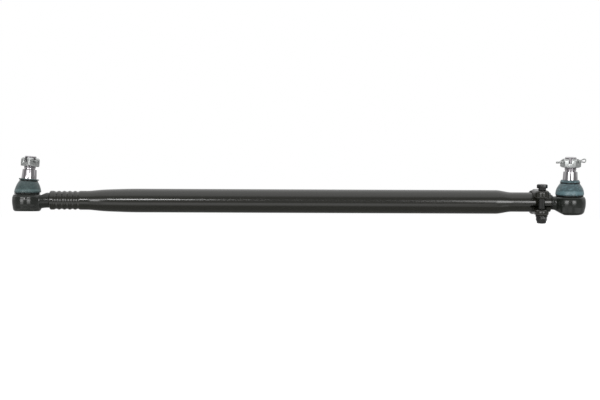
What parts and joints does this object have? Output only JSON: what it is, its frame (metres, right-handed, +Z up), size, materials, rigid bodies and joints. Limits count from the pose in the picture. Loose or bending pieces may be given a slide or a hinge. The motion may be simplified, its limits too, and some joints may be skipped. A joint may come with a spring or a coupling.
{
  "type": "tie rod",
  "caption": "Straight steering tie rod for a heavy vehicle: a black tube with a ball joint at each end, one end adjustable in length and held by a clamp.",
  "frame": {"origin": "centre of the left ball, the one on the rolled end of the tube", "axes": "+X runs along the rod to the right ball, +Z runs up along the studs, -Y faces the clamp bolt"},
  "size_m": [1.1649, 0.084, 0.1353],
  "materials": {
    "black_paint": "gloss",
    "forging_paint": "satin",
    "stud_steel": "polished",
    "zinc_steel": "satin",
    "bearing_plastic": "matte",
    "spring_steel": "satin",
    "left_boot_rubber": "satin",
    "right_boot_rubber": "satin",
    "ring_wire": "satin"
  },
  "bodies": {
    "rod": {"tube": "black_paint", "clamp_band": "black_paint", "clamp_bolt": "black_paint", "clamp_washer": "black_paint", "clamp_nut": "black_paint", "left_housing": "forging_paint", "left_upper_seat": "bearing_plastic", "left_preload_spring": "spring_steel", "left_end_cover": "forging_paint", "left_boot_lower_ring": "ring_wire"},
    "left_swivel": {"left_lower_seat": "bearing_plastic", "left_boot": "left_boot_rubber"},
    "left_tilt": {"left_boot_upper_ring": "ring_wire"},
    "left_stud": {"left_ball_stud": "stud_steel", "left_castle_nut": "zinc_steel", "left_split_pin": "zinc_steel"},
    "right_end": {"right_housing": "forging_paint", "right_upper_seat": "bearing_plastic", "right_preload_spring": "spring_steel", "right_closing_ring": "spring_steel", "right_boot_lower_ring": "ring_wire"},
    "right_swivel": {"right_lower_seat": "bearing_plastic", "right_boot": "right_boot_rubber"},
    "right_tilt": {"right_boot_upper_ring": "ring_wire"},
    "right_stud": {"right_ball_stud": "stud_steel", "right_castle_nut": "zinc_steel", "right_split_pin": "zinc_steel"}
  },
  "joints": [
    {"name": "left_stud_direction", "type": "hinge", "parent": "rod", "child": "left_swivel", "pos_m": [0, 0, 0], "axis": [0, 0, 1], "continuous": true},
    {"name": "left_stud_tilt", "type": "hinge", "parent": "left_swivel", "child": "left_tilt", "pos_m": [0, 0, 0], "axis": [0, 1, 0], "range_deg": [-24.5, 15.5], "deforming": ["left_boot"]},
    {"name": "left_stud_spin", "type": "hinge", "parent": "left_tilt", "child": "left_stud", "pos_m": [0, 0, 0], "axis": [0.0785, 0, 0.9969], "continuous": true},
    {"name": "length_adjustment", "type": "slide", "parent": "rod", "child": "right_end", "axis": [1, 0, 0], "range_m": [-0.003, 0.025]},
    {"name": "right_stud_direction", "type": "hinge", "parent": "right_end", "child": "right_swivel", "pos_m": [1.1, 0, 0], "axis": [0, -0.0872, 0.9962], "continuous": true},
    {"name": "right_stud_tilt", "type": "hinge", "parent": "right_swivel", "child": "right_tilt", "pos_m": [1.1, 0, 0], "axis": [0, 0.9962, 0.0872], "range_deg": [-20.5, 19.5], "deforming": ["right_boot"]},
    {"name": "right_stud_spin", "type": "hinge", "parent": "right_tilt", "child": "right_stud", "pos_m": [1.1, 0, 0], "axis": [0.0087, -0.0872, 0.9962], "continuous": true}
  ]
}
